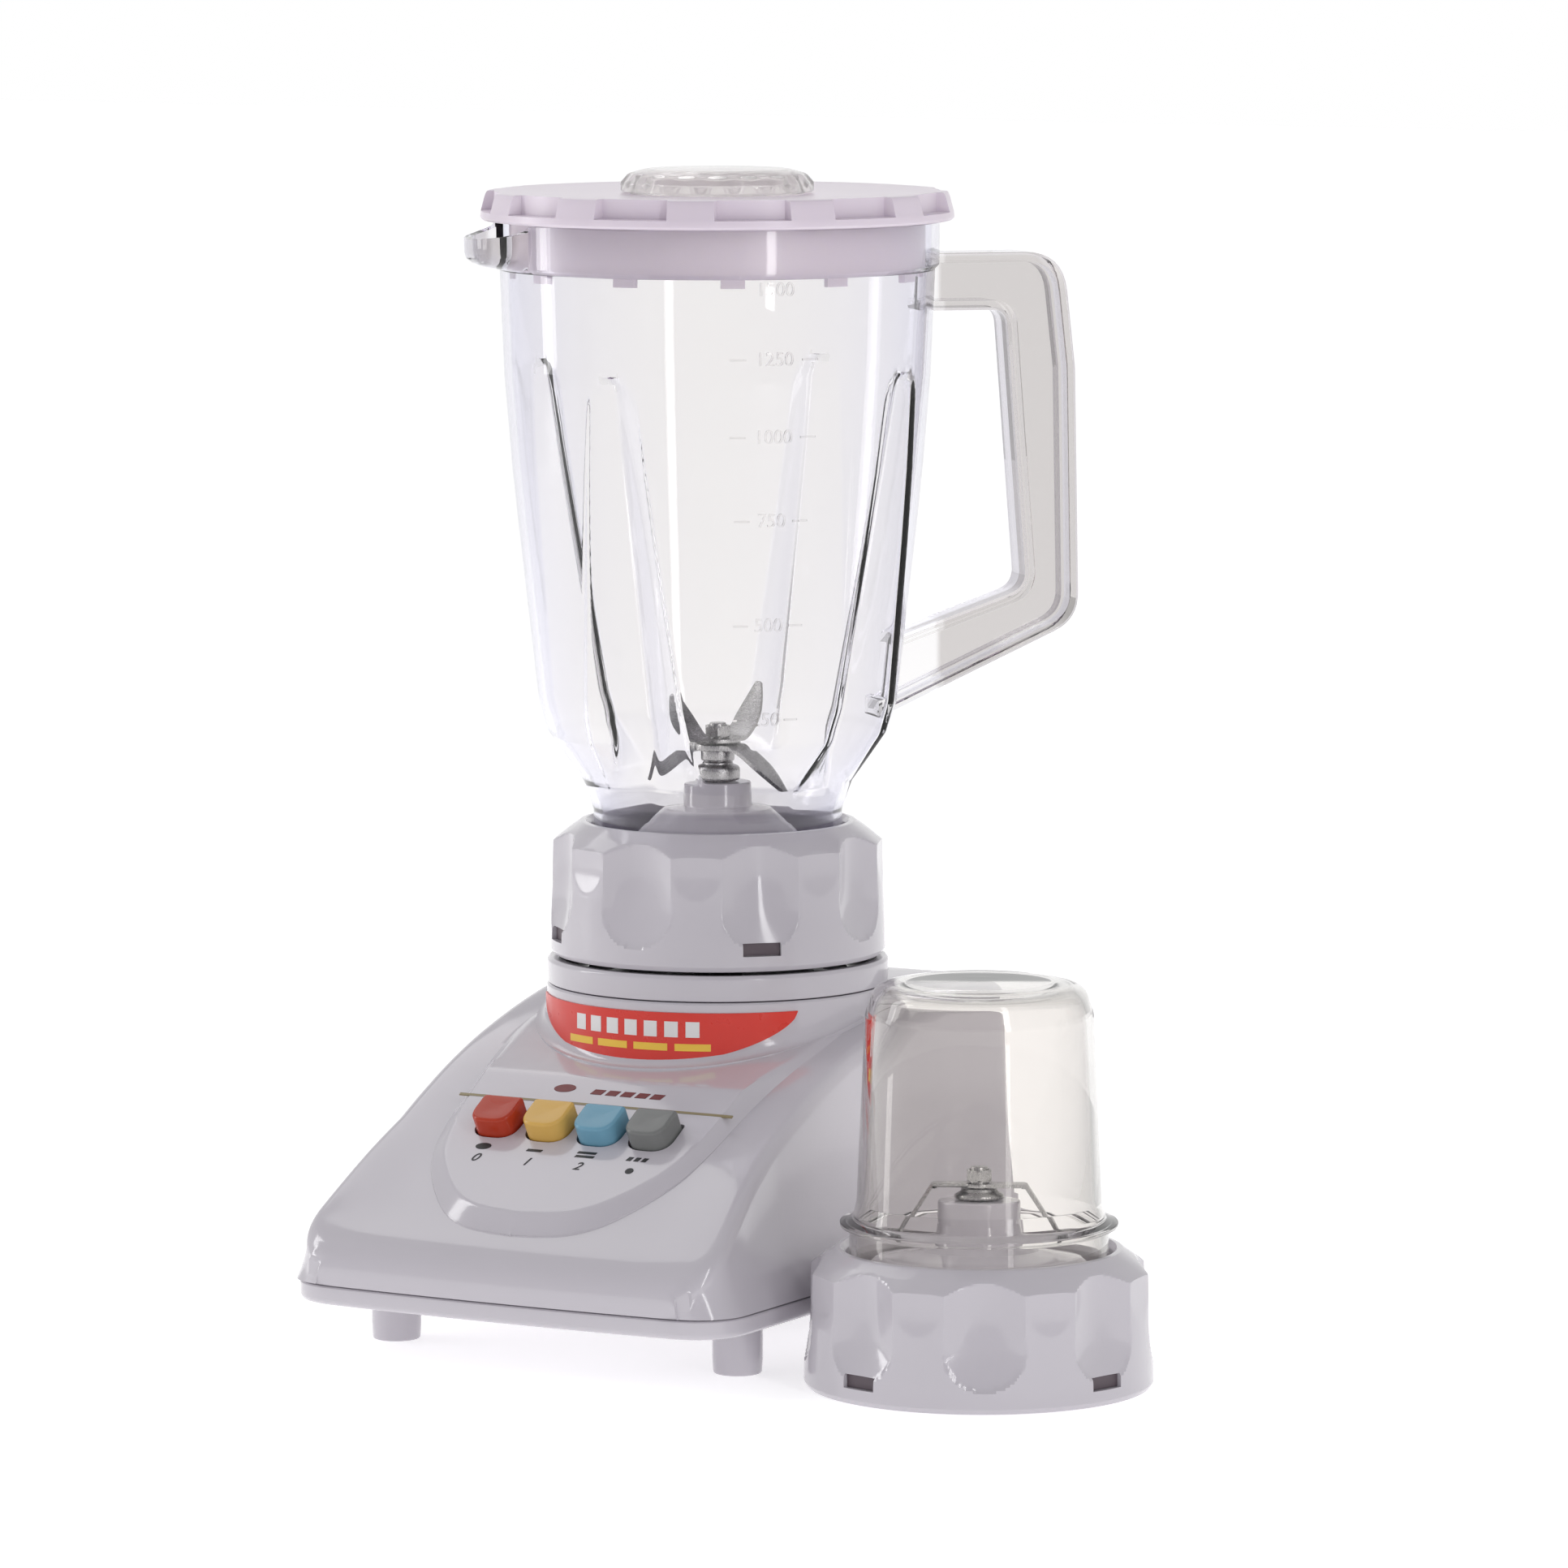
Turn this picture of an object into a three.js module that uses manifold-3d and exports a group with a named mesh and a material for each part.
// Countertop blender with a 1.5 litre jug and a dry mill, as an assembly of separate pieces.
// Millimetres, +Z up. The buttons face -Y. The origin is under the middle of the whole footprint.
import * as THREE from "three";
import { mergeVertices } from "three/addons/utils/BufferGeometryUtils.js";
import Module from "manifold-3d";

const wasm = await Module();
wasm.setup();

// ---- driving dimensions -------------------------------------------------------------------

const GAP = 0.4; // between pieces that touch

const HOUSING = {
  halfWidth: 77, // at the seam with the bottom cover
  ridgeHalfWidth: 66.5, // where the flanks meet the top
  front: -132.5,
  rear: 77,
  corner: 14,
  seam: 22.5,
  bow: 3, // how far the front edge bulges at its middle
  bowFrom: -95, // the bulge grows from here to the front
  flankCurve: 1.7, // how hollow the flanks are
  wall: 2.6,
};
const TOWER = { radius: 53, wall: 3.2, foot: 60, top: 103.3, floor: 100.3, opening: 17 };
const COVER = { bottom: 16, top: 22.1, inset: 5.5, edge: 3 };
const VENT = { count: 7, pitch: 11, width: 5, length: 44 };
const SCREW = { inboard: 18, bottom: 13.6, head: 3.6, neck: 1.6 };
const FOOT = { radius: 7.6, height: 16 - GAP, x: 60, front: -93, rear: 55 };
const RING = { bottom: 103.7, top: 111.5, radius: 52.8, inner: 40 };

// The control panel is a raised tongue on the sloping front: its own tilt, origin and outline.
const PANEL = { tilt: 29.76, y: -85.4, z: 65.5, rise: 2.2, root: -2.6, crease: 26 };
const DECK = { tilt: 16.2, length: 50, near: 49.5, far: 55 };
const BUTTON = { pitch: 18, width: 14, up: 7, down: 5.6, proud: 8.4, depth: 9, clearance: 0.5 };
const BUTTONS = [
  ["button_stop", 0xc8402f],
  ["button_low", 0xf0cf7a],
  ["button_high", 0x86bfdc],
  ["button_pulse", 0x8f9494],
];

const COLLAR = { radius: 52, height: 41.3, mouth: 41.5, sleeve: 39.4, floor: 12.5 };
const SCOOP = { count: 8, depth: 4, halfAngle: 14, low: 9, high: 30 };
const WINDOW = { count: 4, width: 12, height: 4, bottom: 4.8 };
const FLANGE = { bottom: 9.8, radius: 38.8, top: 15.3 };
const GASKET = { inner: 33.6, bottom: 15.7, top: 18 };
const COUPLER = { radius: 12.5, bottom: 0.8, top: 9.2, socket: 7.6 };
const STAR = { points: 6, radius: 7.4, wave: 1.1, height: 16.5, clearance: 0.5 };
const SHAFT = { blade: 2.55, motor: 3 };
const BORE = { blade: 2.95, bush: 4.05, holder: 4.4 };

const JUG = { collarBottom: 112.5, bottom: 131, top: 338.7, wall: 2.5, handle: 135, spout: -45 };
const FLUTE = { count: 4, top: 292, shoulder: 190, foot: 163, depth: 12, halfTop: 7, halfLow: 17 };
const SPOUT = { reach: 12, halfAngle: 17, bottom: 322, lip: 333.5 };
const HANDLE = { width: 16, flange: 3, web: 4 };
const LID = { bottom: 339.2, top: 348.2, radius: 72.9, skirt: 64, skirtBottom: 324, hole: 27.6 };
const LID_WALL = 2;
const POCKET = { count: 12, start: 8.4, width: 22, depth: 3.2, height: 4.6 };
const CAP = { radius: 29.8, plug: 26.8, bottom: 331, top: 355.6, wall: 2 };
const BLADE = { reach: 23, width: 9, thickness: 1.2, hub: 7, lowerBend: -34, upperBend: 40, turn: -5 };

const MILL = { x: 131, y: -73, turn: 30, bottom: 18.5, top: 121, bead: 48.6, wall: 2.2 };
const STRAP = { width: 8, thickness: 1.3 };

const MOTOR = { stator: 66, low: 52, high: 76, bore: 20.5, armature: 19.6, commutator: 9 };
const COIL = { width: 6.6, depth: 38, height: 28 };
const BRACKET = { reach: 38, halfWidth: 9, thickness: 2.6, bore: 4, lower: 30.6, upper: 94.6 };
const BEARING = { bore: 3.4, radius: 8, height: 6, lower: 33.6, upper: 88.2 };
const BRUSH = { width: 8, side: 5, x: 14, bottom: 80 };
const FAN = { radius: 26, hub: 9, bottom: 41, top: 49, disc: 1.6, blades: 7, bladeTop: 48 };

// ---- materials ----------------------------------------------------------------------------

function material(color, roughness, metalness = 0, opacity = 1) {
  return new THREE.MeshStandardMaterial({
    color, roughness, metalness, opacity, transparent: opacity < 1,
  });
}
const BODY = material(0xd3d0dc, 0.25);
const LID_PLASTIC = material(0xe6d9ec, 0.25, 0, 0.9);
const CLEAR = material(0xeef0f6, 0.05, 0, 0.3);
const STEEL = material(0xb9bbbd, 0.25, 1);
const COPPER = material(0xa8673c, 0.4, 0.8);
const RUBBER = material(0x8d8b92, 0.8);
const BLACK = material(0x25262a, 0.6);
const LABEL = material(0xe2271d, 0.35);

// ---- shape helpers ------------------------------------------------------------------------

function solid(geometry) {
  const bare = (geometry.index ? geometry.toNonIndexed() : geometry.clone());
  bare.deleteAttribute("normal");
  bare.deleteAttribute("uv");
  const merged = mergeVertices(bare, 1e-3);
  return new wasm.Manifold(new wasm.Mesh({
    numProp: 3,
    vertProperties: merged.attributes.position.array,
    triVerts: new Uint32Array(merged.index.array),
  }));
}

function geometryOf(piece) {
  const made = piece.getMesh();
  const geometry = new THREE.BufferGeometry();
  geometry.setAttribute("position", new THREE.BufferAttribute(made.vertProperties, 3));
  geometry.setIndex(new THREE.BufferAttribute(made.triVerts, 1));
  geometry.computeVertexNormals();
  return geometry;
}

function node(parent, name, shape, look) {
  const geometry = shape.isBufferGeometry ? shape : geometryOf(shape);
  const mesh = new THREE.Mesh(geometry, look);
  mesh.name = name;
  parent.add(mesh);
  return mesh;
}

function union(first, ...others) {
  return others.reduce((sum, piece) => sum.add(piece), first);
}

function cut(first, ...tools) {
  return tools.reduce((rest, tool) => rest.subtract(tool), first);
}

const radians = THREE.MathUtils.degToRad;
const { clamp, smoothstep, lerp } = THREE.MathUtils;

// Turns an outline of [radius, height] points about Z. The outline runs anticlockwise: out, up
// and back. Bearings are measured from -Y towards +X. sculpt may move a point: it takes the
// bearing in degrees, the radius and the height, and returns a new [radius, height].
function revolve(outline, segments, sculpt) {
  const points = outline.map(([r, z]) => new THREE.Vector2(r, z));
  const closed = outline[0][0] > 0;
  if (closed) points.push(points[0].clone());
  const geometry = new THREE.LatheGeometry(points, segments).rotateX(Math.PI / 2);
  if (!sculpt) return geometry;
  const position = geometry.attributes.position;
  for (let i = 0; i < position.count; i++) {
    const x = position.getX(i);
    const y = position.getY(i);
    const turned = Math.atan2(x, -y);
    const bearing = THREE.MathUtils.radToDeg(turned);
    const [r, z] = sculpt(bearing, Math.hypot(x, y), position.getZ(i));
    position.setXYZ(i, r * Math.sin(turned), -r * Math.cos(turned), z);
  }
  return geometry;
}

function tube(inner, outer, bottom, top, segments = 24) {
  return revolve([[inner, bottom], [outer, bottom], [outer, top], [inner, top]], segments);
}

function rod(radius, bottom, top, segments = 24) {
  return revolve([[0, bottom], [radius, bottom], [radius, top], [0, top]], segments);
}

function block(width, depth, height, x, y, bottom) {
  return new THREE.BoxGeometry(width, depth, height).translate(x, y, bottom + height / 2);
}

// A flat outline in X and Y, with thickness up from a height.
function plate(points, bottom, thickness, options = {}) {
  const shape = new THREE.Shape(points.map(([x, y]) => new THREE.Vector2(x, y)));
  const settings = { depth: thickness, bevelEnabled: false, curveSegments: 6, ...options };
  return new THREE.ExtrudeGeometry(shape, settings).translate(0, 0, bottom);
}

function roundedRectangle(halfWidth, front, rear, corner, steps = 4) {
  const points = [];
  const centres = [
    [halfWidth - corner, rear - corner, 0],
    [-halfWidth + corner, rear - corner, 90],
    [-halfWidth + corner, front + corner, 180],
    [halfWidth - corner, front + corner, 270],
  ];
  for (const [x, y, start] of centres)
    for (let i = 0; i <= steps; i++) {
      const angle = radians(start + (90 * i) / steps);
      points.push([x + corner * Math.cos(angle), y + corner * Math.sin(angle)]);
    }
  return points;
}

// A polygon moved inwards by a distance, for an outline that runs anticlockwise.
function inset(points, distance) {
  return points.map((point, i) => {
    const before = points[(i + points.length - 1) % points.length];
    const after = points[(i + 1) % points.length];
    const a = new THREE.Vector2(point[0] - before[0], point[1] - before[1]).normalize();
    const b = new THREE.Vector2(after[0] - point[0], after[1] - point[1]).normalize();
    const normal = new THREE.Vector2(-a.y - b.y, a.x + b.x).normalize();
    const reach = distance / Math.max(0.4, normal.dot(new THREE.Vector2(-a.y, a.x)));
    return [point[0] + normal.x * reach, point[1] + normal.y * reach];
  });
}

// A polyline whose marked corners are rounded: each entry is [x, y] or [x, y, radius].
function rounded(corners, steps = 4) {
  const path = [];
  corners.forEach(([x, y, radius], i) => {
    if (!radius) {
      path.push([x, y]);
      return;
    }
    const here = new THREE.Vector2(x, y);
    const back = new THREE.Vector2(...corners[i - 1].slice(0, 2)).sub(here).normalize();
    const on = new THREE.Vector2(...corners[i + 1].slice(0, 2)).sub(here).normalize();
    const half = Math.acos(clamp(back.dot(on), -1, 1)) / 2;
    const run = radius / Math.tan(half);
    const curve = new THREE.QuadraticBezierCurve(
      here.clone().addScaledVector(back, run), here, here.clone().addScaledVector(on, run));
    for (const point of curve.getPoints(steps)) path.push([point.x, point.y]);
  });
  return path;
}

// Moves a shape built flat on the control panel (x, up-slope, out) onto the sloping front.
function ontoPanel(geometry) {
  return geometry.rotateX(radians(PANEL.tilt)).translate(0, PANEL.y, PANEL.z);
}

// ---- base: housing ------------------------------------------------------------------------

// Height of the ridge, where a flank meets the top, at stations from front to rear.
const RIDGE = [
  [-132.5, 25], [-131, 31], [-128, 35.5], [-121, 42.5], [-110, 50.6], [-97, 59], [-85.4, 65.5],
  [-68, 74.4], [-51, 82], [-33, 88.4], [-10, 94.6], [12, 98.8], [35, 101.2], [60, 102.2],
  [64, 100.5], [67, 88], [71, 62], [77, 26],
];
const FLANK_STEPS = 3;

// Half the housing's width at the seam, which narrows round the corners.
function halfWidthAt(y) {
  const { halfWidth, corner, front, rear } = HOUSING;
  const past = Math.max(0, front + corner - y, y - (rear - corner));
  return halfWidth - corner + Math.sqrt(Math.max(0, corner ** 2 - past ** 2));
}

// One closed slice of the housing: up the right flank, across the top, down the left flank.
function housingSlice(y, ridge) {
  const foot = halfWidthAt(y);
  const shoulder = Math.min(HOUSING.ridgeHalfWidth, foot - 0.5);
  const half = [];
  for (let i = 0; i <= FLANK_STEPS; i++) {
    const t = i / FLANK_STEPS;
    const x = shoulder + (foot - shoulder) * (1 - t) ** HOUSING.flankCurve;
    half.push([x, lerp(HOUSING.seam, ridge, t)]);
  }
  half.push([shoulder / 2, ridge]);
  const run = HOUSING.bowFrom - HOUSING.front;
  const bulge = HOUSING.bow * clamp((HOUSING.bowFrom - y) / run, 0, 1);
  const slice = [...half, ...half.map(([x, z]) => [-x, z]).reverse()];
  return slice.map(([x, z]) => [x, y - bulge * (1 - (x / HOUSING.halfWidth) ** 2), z]);
}

// Joins closed slices of equal length into one body, with flat ends.
function loft(slices) {
  const count = slices[0].length;
  const points = slices.flat();
  const index = [];
  for (let s = 0; s + 1 < slices.length; s++)
    for (let i = 0; i < count; i++) {
      const a = s * count + i;
      const b = s * count + ((i + 1) % count);
      index.push(a, a + count, b, b, a + count, b + count);
    }
  const last = (slices.length - 1) * count;
  for (let i = 1; i + 1 < count; i++) {
    index.push(0, i, i + 1);
    index.push(last, last + i + 1, last + i);
  }
  const geometry = new THREE.BufferGeometry();
  geometry.setAttribute("position", new THREE.Float32BufferAttribute(points.flat(), 3));
  geometry.setIndex(index);
  return geometry;
}

function housingBody() {
  return loft(RIDGE.map(([y, z]) => housingSlice(y, z)));
}

// The housing's inside: the same body, shrunk by the wall and dropped to open the bottom.
function housingHollow() {
  const middle = (HOUSING.front + HOUSING.rear) / 2;
  const half = (HOUSING.rear - HOUSING.front) / 2;
  const height = TOWER.top - HOUSING.seam;
  return housingBody()
    .translate(0, -middle, -HOUSING.seam)
    .scale(
      1 - HOUSING.wall / HOUSING.halfWidth,
      1 - (HOUSING.wall + 1) / half,
      1 - (HOUSING.wall + 1) / height)
    .translate(0, middle, HOUSING.seam - 0.5);
}

// The tongue's outline on the panel plane: a rounded tip low down, widening up to the crease.
function tongueOutline() {
  const edge = new THREE.SplineCurve([
    [0, -45.5], [19, -43], [37.5, -25], [44.5, -14], [49.5, PANEL.crease],
  ].map(([x, s]) => new THREE.Vector2(x, s)));
  const right = edge.getPoints(10).map((point) => [point.x, point.y]);
  const left = right.slice(1).reverse().map(([x, s]) => [-x, s]);
  return [...right, ...left];
}

function panelTongue() {
  const thickness = PANEL.rise - PANEL.root;
  return solid(ontoPanel(plate(tongueOutline(), PANEL.root, thickness)));
}

// Above the crease the raised deck runs on, less steep, to the tower.
function panelDeck() {
  const { near, far, length } = DECK;
  const outline = [[-near, -0.5], [near, -0.5], [far, length], [-far, length]];
  const thickness = PANEL.rise - PANEL.root;
  const crease = new THREE.Vector3(0, PANEL.crease, 0)
    .applyAxisAngle(new THREE.Vector3(1, 0, 0), radians(PANEL.tilt));
  const lift = PANEL.rise / Math.cos(radians(PANEL.tilt));
  return solid(plate(outline, -thickness, thickness)
    .rotateX(radians(DECK.tilt))
    .translate(0, PANEL.y + crease.y, PANEL.z + crease.z + lift));
}

// A button's outline: flat on its upper side, round on its lower side.
function buttonOutline(grow = 0) {
  const { width, up, down } = BUTTON;
  const half = width / 2 + grow;
  return rounded([
    [0, -down - grow],
    [half, -down - grow, 5.5],
    [half, up + grow, 1.5],
    [-half, up + grow, 1.5],
    [-half, -down - grow, 5.5],
    [0, -down - grow],
  ], 3).slice(0, -1);
}

function buttonX(i) {
  return (i - (BUTTONS.length - 1) / 2) * BUTTON.pitch;
}

function buttonHole(i) {
  const hole = plate(buttonOutline(BUTTON.clearance), -14, 26).translate(buttonX(i), 0, 0);
  return solid(ontoPanel(hole));
}

const CORD_INLET = { z: 33, radius: 6.5 };

// A piece turned about the rear wall's cord inlet, along Y.
function atInlet(geometry) {
  return geometry.rotateX(-Math.PI / 2).translate(0, HOUSING.rear, CORD_INLET.z);
}

function baseHousing() {
  const outside = union(solid(housingBody()), panelTongue(), panelDeck());
  const openings = [
    solid(rod(TOWER.radius + GAP, TOWER.foot - 5, TOWER.top + 1, 40)),
    solid(atInlet(rod(CORD_INLET.radius + GAP, -12, 12, 16))),
    ...BUTTONS.map((_, i) => buttonHole(i)),
  ];
  return cut(outside, solid(housingHollow()), ...openings);
}

// The round tower stands through the housing's top and is closed by a floor with a drive opening.
function baseTower() {
  const { radius, wall, foot, floor, top, opening } = TOWER;
  return revolve([
    [radius - wall, foot], [radius, foot], [radius, top], [opening, top], [opening, floor],
    [radius - wall, floor],
  ], 40);
}

function bottomCover() {
  const { halfWidth, front, rear, corner, bow } = HOUSING;
  const { inset: sides, bottom, top, edge } = COVER;
  const outline = roundedRectangle(
    halfWidth - sides, front - bow / 2 + sides, rear - sides, corner - 4);
  const vents = [];
  for (let i = 0; i < VENT.count; i++) {
    const x = (i - (VENT.count - 1) / 2) * VENT.pitch;
    vents.push(solid(block(VENT.width, VENT.length, 20, x, 0, bottom - 5)));
  }
  const slab = plate(outline, bottom + edge, top - bottom - edge, {
    bevelEnabled: true, bevelThickness: edge, bevelSize: sides - 0.8, bevelSegments: 2,
  });
  const roof = solid(block(2.6 * halfWidth, 2 * (rear - front), 10, 0, 0, top));
  return cut(solid(slab), roof, ...vents);
}

function foot() {
  const { radius, height } = FOOT;
  return revolve([
    [0, 0], [radius - 1.6, 0], [radius - 0.6, 1.2], [radius - 0.6, 3], [radius, 3.4],
    [radius, height], [0, height],
  ], 20);
}

function screw() {
  const { bottom, head, neck } = SCREW;
  const top = COVER.bottom - GAP;
  return revolve([
    [0, bottom], [head - 0.2, bottom], [head, bottom + 0.6], [neck, top], [0, top],
  ], 12);
}

function lockingRing() {
  const { bottom, top, radius, inner } = RING;
  return revolve([
    [inner, bottom], [radius, bottom], [radius - 0.4, top], [radius - 3.4, top],
    [radius - 4, top - 4], [inner, top - 4],
  ], 32);
}

// The sticker round the tower's front: straight on top, bellied below.
const STICKER = { halfAngle: 57, top: 100.3, belly: 16, thickness: 0.5 };

function stickerLowEdge(bearing) {
  const across = clamp(Math.abs(bearing) / STICKER.halfAngle, 0, 1);
  return STICKER.top - STICKER.belly * Math.cos((across * Math.PI) / 2) ** 0.6 - 0.3;
}

function sticker() {
  const steps = 16;
  const inner = TOWER.radius + GAP;
  const outer = inner + STICKER.thickness;
  const slices = [];
  for (let i = 0; i <= steps; i++) {
    const bearing = lerp(-STICKER.halfAngle, STICKER.halfAngle, i / steps);
    const [sin, cos] = [Math.sin(radians(bearing)), Math.cos(radians(bearing))];
    const low = stickerLowEdge(bearing);
    const corners = [[inner, low], [outer, low], [outer, STICKER.top], [inner, STICKER.top]];
    slices.push(corners.map(([r, z]) => [r * sin, -r * cos, z]));
  }
  return loft(slices);
}

// ---- base: motor --------------------------------------------------------------------------

function stator() {
  const { stator: side, low, high, bore } = MOTOR;
  const frame = plate(roundedRectangle(side / 2, -side / 2, side / 2, 6, 2), low, high - low);
  return cut(
    solid(frame),
    solid(rod(bore, low - 1, high + 1, 32)),
    solid(block(side - 10, COIL.depth + 2, high - low + 2, 0, 0, low - 1)));
}

function fieldCoil() {
  const middle = (MOTOR.low + MOTOR.high) / 2;
  return block(COIL.width, COIL.depth, COIL.height, 0, 0, middle - COIL.height / 2);
}

function bracket(bottom) {
  const { reach, halfWidth, thickness, bore } = BRACKET;
  const outline = roundedRectangle(reach, -halfWidth, halfWidth, halfWidth - 1, 3);
  const hole = rod(bore, bottom - 1, bottom + thickness + 1, 20);
  return cut(solid(plate(outline, bottom, thickness)), solid(hole));
}

function coolingFan() {
  const { radius, hub, bottom, top, disc, bladeTop } = FAN;
  const length = radius - hub;
  const blades = [];
  for (let i = 0; i < FAN.blades; i++) {
    const blade = block(length, disc, bladeTop - bottom, hub + length / 2 - 1, 0, bottom);
    blades.push(solid(blade.rotateZ((i * Math.PI * 2) / FAN.blades)));
  }
  return cut(
    union(solid(rod(radius, bottom, bottom + disc, 28)), solid(rod(hub, bottom, top, 20)), ...blades),
    solid(rod(SHAFT.motor + GAP, bottom - 1, top + 1, 16)));
}

// The drive's six-pointed star.
function starOutline(grow = 0) {
  const points = [];
  const count = STAR.points * 6;
  for (let i = 0; i < count; i++) {
    const angle = (i * Math.PI * 2) / count;
    const r = STAR.radius + STAR.wave * Math.cos(STAR.points * angle) + grow;
    points.push([r * Math.cos(angle), r * Math.sin(angle)]);
  }
  return points;
}

function driveCoupler() {
  const bottom = TOWER.floor - 0.5;
  const disc = rod(TOWER.opening - 3, bottom, bottom + 3, 28);
  return union(solid(disc), solid(plate(starOutline(), bottom + 2, STAR.height)));
}

function addMotor(parent) {
  const { low, high, armature } = MOTOR;
  const coilX = MOTOR.bore + 3.6;
  node(parent, "motor_stator", stator(), STEEL);
  node(parent, "field_coil_left", fieldCoil(), COPPER).position.x = -coilX;
  node(parent, "field_coil_right", fieldCoil(), COPPER).position.x = coilX;
  for (const end of ["lower", "upper"]) {
    const bottom = BEARING[end];
    const bearing = tube(BEARING.bore, BEARING.radius, bottom, bottom + BEARING.height);
    node(parent, `${end}_bracket`, bracket(BRACKET[end]), STEEL);
    node(parent, `${end}_bearing`, bearing, COPPER);
  }
  const brush = block(BRUSH.width, BRUSH.side, BRUSH.side, 0, 0, BRUSH.bottom);
  node(parent, "brush_left", brush, BLACK).position.x = -BRUSH.x;
  node(parent, "brush_right", brush.clone(), BLACK).position.x = BRUSH.x;
  const inner = SHAFT.motor + GAP;
  node(parent, "motor_shaft", rod(SHAFT.motor, 28, TOWER.floor - 0.9, 20), STEEL);
  node(parent, "cooling_fan", coolingFan(), BLACK);
  node(parent, "armature_core", tube(inner, armature, low, high, 32), STEEL);
  node(parent, "commutator", tube(inner, MOTOR.commutator, high + 3, high + 11), COPPER);
  node(parent, "drive_coupler", driveCoupler(), BLACK);
}

// ---- base: assembly -----------------------------------------------------------------------

function addBase(parent) {
  node(parent, "base_housing", baseHousing(), BODY);
  node(parent, "base_tower", baseTower(), BODY);
  node(parent, "bottom_cover", bottomCover(), BODY);
  for (const [side, sign] of [["left", -1], ["right", 1]])
    for (const [end, y] of [["front", FOOT.front], ["rear", FOOT.rear]]) {
      node(parent, `foot_${end}_${side}`, foot(), BODY).position.set(sign * FOOT.x, y, 0);
      const place = [sign * (FOOT.x - SCREW.inboard), y, 0];
      node(parent, `cover_screw_${end}_${side}`, screw(), STEEL).position.set(...place);
    }
  node(parent, "locking_ring", lockingRing(), BODY);
  node(parent, "label_sticker", sticker(), LABEL);
  BUTTONS.forEach(([name, color], i) => {
    const cap = plate(buttonOutline(), -BUTTON.depth, BUTTON.depth + BUTTON.proud);
    node(parent, name, ontoPanel(cap.translate(buttonX(i), 0, 0)), material(color, 0.3));
  });
  const bank = block(78, 16, 12, 0, 0, -BUTTON.depth - 5 - 12);
  node(parent, "switch_bank", ontoPanel(bank), BLACK);
  const gland = tube(3.6, CORD_INLET.radius, -6, 5, 16);
  node(parent, "cord_gland", atInlet(gland), BLACK);
  addMotor(parent);
}

// ---- vessel bottoms, the same on the jug and the mill ----------------------------------------

// The angle from a bearing to the nearest multiple of a pitch.
function offPitch(bearing, pitch) {
  return Math.abs(((bearing % pitch) + pitch * 1.5) % pitch - pitch / 2);
}

// How deep the collar's grips are scooped at a bearing and a height above the collar's bottom.
function scoopDepth(bearing, z) {
  const { count, depth, halfAngle, low, high } = SCOOP;
  const off = offPitch(bearing, 360 / count);
  const across = Math.max(0, Math.cos(radians((off / halfAngle) * 90)));
  return off > halfAngle ? 0 : depth * across * smoothstep(z, low, high);
}

function collarWindow(bearing) {
  const { width, height, bottom } = WINDOW;
  return solid(block(width, 12, height, 0, 2 - COLLAR.radius, bottom).rotateZ(radians(bearing)));
}

function collar() {
  const { radius, height, mouth, sleeve } = COLLAR;
  const shell = revolve([
    [radius, 0], [radius - 0.3, 9], [radius - 0.7, 21], [radius - 1, 35], [46.5, 38.5],
    [mouth, height], [sleeve, height - 1.8], [sleeve, 12.1], [36.5, 12.1], [36.5, 9.9],
    [41.8, 9.9], [41.8, 34.5], [47.6, 33], [48.4, 21], [49, 9], [49.2, 0],
  ], 32, (bearing, r, z) => [r - (r > 43 && z < 37 ? scoopDepth(bearing, z) : 0), z]);
  const windows = [];
  for (let i = 0; i < WINDOW.count; i++) windows.push(collarWindow((i + 0.5) * 360 / WINDOW.count));
  return cut(solid(shell), ...windows);
}

// The blade holder's flange is common to both vessels; what rises from it and its underside differ.
function holder(inside, underside) {
  const { radius, top } = FLANGE;
  return revolve([...underside, [radius, COLLAR.floor], [radius, top], ...inside], 28);
}

function coupler() {
  const { radius, bottom, top, socket } = COUPLER;
  const star = solid(plate(starOutline(STAR.clearance), 0, socket));
  return cut(solid(rod(radius, bottom, top, 28)), star);
}

function addVesselBottom(parent, prefix, holderShape, hubTop, shaftTop) {
  node(parent, `${prefix}_collar`, collar(), BODY);
  node(parent, `${prefix}_blade_holder`, holderShape, BODY);
  const { inner, bottom, top } = GASKET;
  node(parent, `${prefix}_gasket`, tube(inner, FLANGE.radius, bottom, top), RUBBER);
  const bush = tube(BORE.blade, BORE.bush, FLANGE.bottom + GAP, hubTop - 0.5, 16);
  node(parent, `${prefix}_blade_bush`, bush, COPPER);
  const shaft = rod(SHAFT.blade, COUPLER.top + GAP, shaftTop, 16);
  node(parent, `${prefix}_blade_shaft`, shaft, STEEL);
  node(parent, `${prefix}_coupler`, coupler(), BLACK);
}

// ---- jug ----------------------------------------------------------------------------------

const JUG_OUTSIDE = [
  [38.5, JUG.bottom], [38.5, 159], [41.6, 166], [52.6, 181.6], [55.2, 190], [58.5, 219],
  [63.4, 264], [65.7, 292], [67, 323], [68.2, 326], [68.4, JUG.top],
];
const JUG_SEGMENTS = 48;

// How far the four corner flutes sink into the jug's wall.
function fluteDepth(bearing, r, z) {
  const { top, shoulder, foot, depth, halfTop, halfLow, count } = FLUTE;
  const off = offPitch(bearing, 360 / count);
  const down = clamp((top - z) / (top - shoulder), 0, 1);
  const half = lerp(halfTop, halfLow, down);
  const fade = smoothstep(z, foot, shoulder);
  return depth * down ** 0.8 * fade * Math.max(0, 1 - (r * radians(off)) / half);
}

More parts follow.
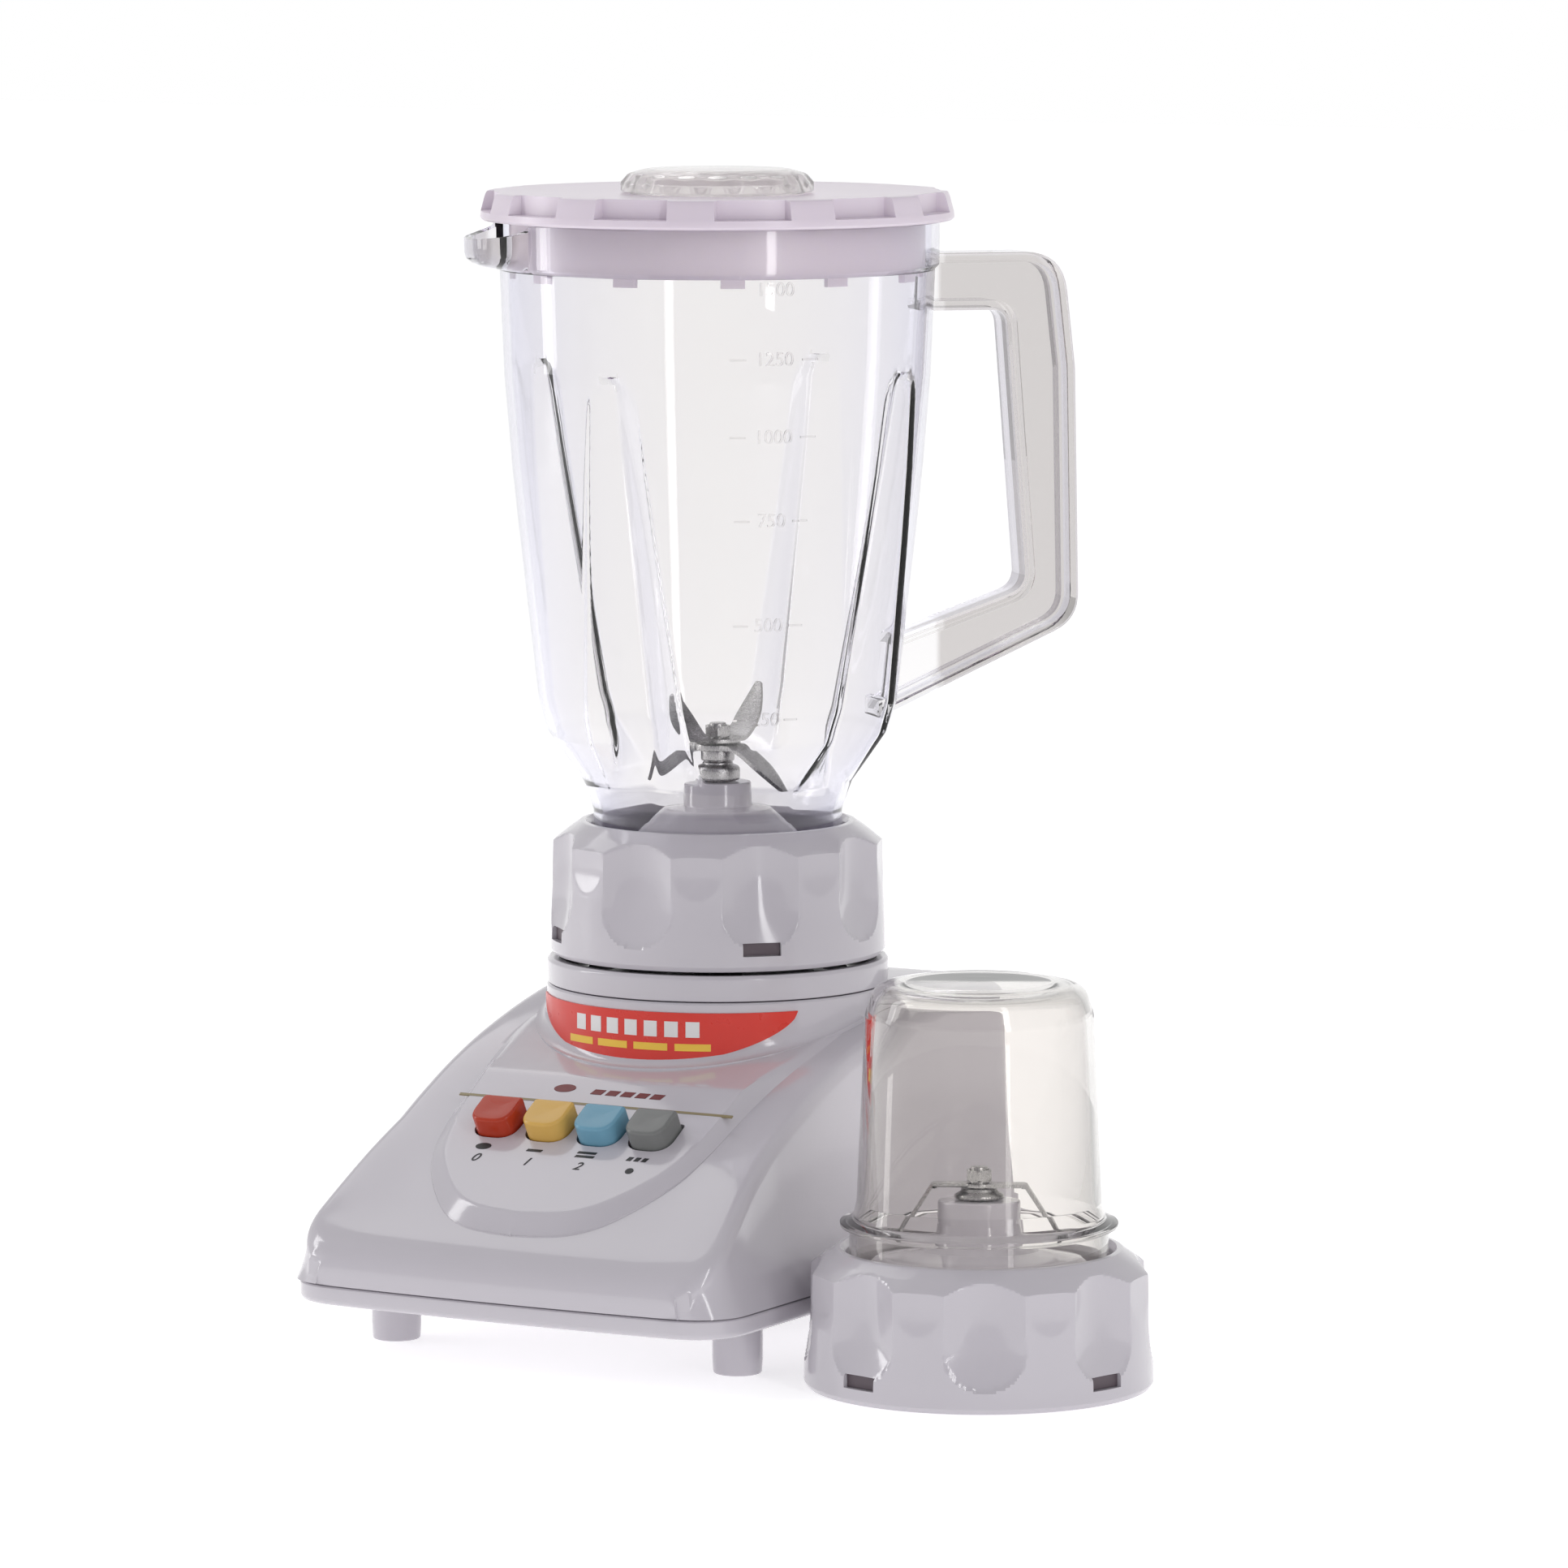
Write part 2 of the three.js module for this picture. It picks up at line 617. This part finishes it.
function jugSculpt(bearing, r, z) {
  const off = Math.abs(((bearing - JUG.spout + 540) % 360) - 180) / SPOUT.halfAngle;
  const beak = off < 1 ? Math.cos((off * Math.PI) / 2) ** 0.8 : 0;
  const up = smoothstep(z, SPOUT.bottom, SPOUT.lip);
  const reach = r - fluteDepth(bearing, r, z) + SPOUT.reach * beak * up;
  return [reach, z - beak * up * (JUG.top - SPOUT.lip)];
}

function handleOutline() {
  return rounded([
    [52, 328.2], [52, 310.4], [90.8, 310.4, 5], [97.5, 224, 7], [50, 207.5],
    [50, 184.5], [114.6, 213.5, 12], [113.2, 292], [109.2, 328.2, 13],
  ].concat([[52, 328.2]])).slice(0, -1);
}

function jugHandle() {
  const { width, flange, web } = HANDLE;
  const outline = handleOutline();
  const upright = (points, from, depth) => solid(
    plate(points, from, depth).rotateX(Math.PI / 2).rotateZ(radians(JUG.handle - 90)));
  const pocket = inset(outline, flange);
  const deep = (width - web) / 2;
  const core = revolve([
    [0, 180], ...JUG_OUTSIDE.slice(4).map(([r, z]) => [r - 0.8, z]), [0, JUG.top],
  ], JUG_SEGMENTS);
  return cut(
    upright(outline, -width / 2, width),
    upright(pocket, web / 2, deep + 1),
    upright(pocket, -web / 2 - deep - 1, deep + 1),
    solid(core));
}

function jug() {
  const inside = JUG_OUTSIDE.map(([r, z]) => [r - JUG.wall, z]).reverse();
  const wall = revolve([...JUG_OUTSIDE, ...inside], JUG_SEGMENTS, jugSculpt);
  return union(solid(wall), jugHandle());
}

function lid() {
  const { bottom, top, radius, skirt, hole } = LID;
  const body = revolve([
    [skirt - LID_WALL, bottom], [radius, bottom], [radius - 0.3, top - 4], [radius - 2.4, top],
    [hole + 3.6, top - 1], [hole + 3, top - 0.8], [hole, top - 0.8], [hole, bottom + 0.8],
    [hole + LID_WALL, bottom + 0.8], [hole + LID_WALL, top - 3.4],
    [skirt - LID_WALL, top - 3.4],
  ], 36);
  const pockets = [];
  for (let i = 0; i < POCKET.count; i++) {
    const { start, width, depth, height } = POCKET;
    const pocket = block(width, 2 * depth, height, 0, -radius, bottom + 2.2);
    pockets.push(solid(pocket.rotateZ(radians(start + (360 * i) / POCKET.count))));
  }
  return cut(solid(body), ...pockets);
}

// The skirt under the lid that plugs the jug's mouth.
function lidSkirt() {
  const { skirt, skirtBottom, bottom } = LID;
  return tube(skirt - LID_WALL, skirt, skirtBottom, bottom - GAP, 36);
}

function fillerCap() {
  const { radius, plug, bottom, top, wall: thick } = CAP;
  return revolve([
    [0, top - thick], [plug - 4, top - 3.4], [plug - thick, top - 7], [plug - thick, bottom],
    [plug, bottom], [plug, 347.8], [radius, 347.8], [radius, 350.6], [26, top - 1.2], [0, top],
  ], 28);
}

// One wing of a blade: flat at the shaft, then bent up or down along its length.
function wing(bend, turn) {
  const { reach, width, thickness, hub } = BLADE;
  const flat = plate([
    [0, -width / 2], [hub, -width / 2], [hub, width / 2], [0, width / 2],
  ], 0, thickness);
  const tip = plate([
    [-0.5, -width / 2], [reach * 0.55, -width / 2], [reach, width * 0.15], [reach * 0.6, width / 2],
    [-0.5, width / 2],
  ], 0, thickness).rotateY(radians(-bend)).translate(hub, 0, 0);
  return [solid(flat.rotateZ(radians(turn))), solid(tip.rotateZ(radians(turn)))];
}

function jugBlade(bottom, bend, turn) {
  const wings = [...wing(bend, turn), ...wing(bend, turn + 180)];
  const whole = union(solid(rod(BLADE.hub, 0, BLADE.thickness, 20)), ...wings);
  const cutter = cut(whole, solid(rod(BORE.blade, -5, 5, 16)));
  return geometryOf(cutter).translate(0, 0, bottom);
}

function addJug(parent) {
  const lower = new THREE.Group();
  lower.position.z = JUG.collarBottom;
  parent.add(lower);
  const hubTop = 53.5;
  const flare = [[31, 15.3], [24, 18.5], [14.5, 29.5], [11.3, 37.5], [10.2, 45.5], [9.8, hubTop]];
  const inside = [...flare, [BORE.holder, hubTop]];
  const under = [[BORE.holder, FLANGE.bottom], [11.5, FLANGE.bottom], [11.5, COLLAR.floor]];
  addVesselBottom(lower, "jug", holder(inside, under), hubTop, 71.5);
  const cup = revolve([
    [BORE.blade, 53.9], [6.5, 53.9], [6.5, 57], [4.6, 59.6], [BORE.blade, 59.6],
  ], 24);
  node(lower, "jug_blade_cup", cup, STEEL);
  node(lower, "jug_blade_spacer", tube(BORE.blade, 4.4, 60, 63.6, 16), STEEL);
  const { lowerBend, upperBend, turn } = BLADE;
  node(lower, "jug_blade_lower", jugBlade(64, lowerBend, turn), STEEL);
  node(lower, "jug_blade_upper", jugBlade(65.6, upperBend, turn + 90), STEEL);
  node(lower, "jug_blade_nut", tube(BORE.blade, 4.4, 67.2, 70.6, 6), STEEL);
  node(parent, "jug", jug(), CLEAR);
  node(parent, "lid", lid(), LID_PLASTIC);
  node(parent, "lid_skirt", lidSkirt(), LID_PLASTIC);
  node(parent, "filler_cap", fillerCap(), CLEAR);
}

// ---- mill ---------------------------------------------------------------------------------

function millJar() {
  const { bottom, top, bead, wall } = MILL;
  const outside = [
    [38.5, bottom], [38.5, 46.6], [41.4, bead - 1], [41.4, bead + 1], [37, bead + 2.4],
    [36.2, 55], [33.8, 111], [31.4, 118], [26, top], [0, top],
  ];
  const inside = [
    [0, top - wall], [25, top - wall], [29.6, 116], [31.5, 110.5], [34, 55], [36, 50],
    [36, bottom],
  ];
  return revolve([...inside, ...outside], 32);
}

// A strap bent over the hub: flat on top, with arms sloping down to short flat tips.
function millBlade() {
  const line = [[-31, 44.6], [-26, 44.6], [-12, 60.6], [12, 60.6], [26, 44.6], [31, 44.6]];
  const band = [...line, ...line.map(([x, z]) => [x, z + STRAP.thickness]).reverse()];
  const strap = plate(band, -STRAP.width / 2, STRAP.width).rotateX(Math.PI / 2);
  return cut(solid(strap), solid(rod(BORE.blade, 50, 70, 16)));
}

function addMill(parent) {
  const hubTop = 56.8;
  const hub = 8;
  const inside = [
    [33, 15.3], [33, 37.5], [30, 40], [18, 42], [12.8, 45], [11.6, 49], [11.6, hubTop],
    [hub + GAP, hubTop],
  ];
  const under = [[hub + GAP, 36], [28, 36], [30.4, 33], [30.4, COLLAR.floor]];
  addVesselBottom(parent, "mill", holder(inside, under), hubTop, 66.5);
  node(parent, "mill_blade_hub", tube(BORE.holder, hub, FLANGE.bottom, hubTop), BODY);
  const spacer = tube(BORE.blade, 6.4, hubTop + GAP, 60.2, 20);
  node(parent, "mill_blade_spacer", spacer, STEEL);
  node(parent, "mill_blade", millBlade(), STEEL);
  node(parent, "mill_blade_nut", tube(BORE.blade, 4.2, 62.3, 65.6, 6), STEEL);
  node(parent, "mill_jar", millJar(), CLEAR);
}

// ---- whole object -------------------------------------------------------------------------

const blender = new THREE.Group();
addBase(blender);
addJug(blender);
const mill = new THREE.Group();
mill.position.set(MILL.x, MILL.y, 0);
mill.rotation.z = radians(MILL.turn);
blender.add(mill);
addMill(mill);

// The origin is set under the middle of the footprint.
const extent = new THREE.Box3().setFromObject(blender, true);
const middle = extent.getCenter(new THREE.Vector3());
blender.position.set(-middle.x, -middle.y, -extent.min.z);

export default blender;
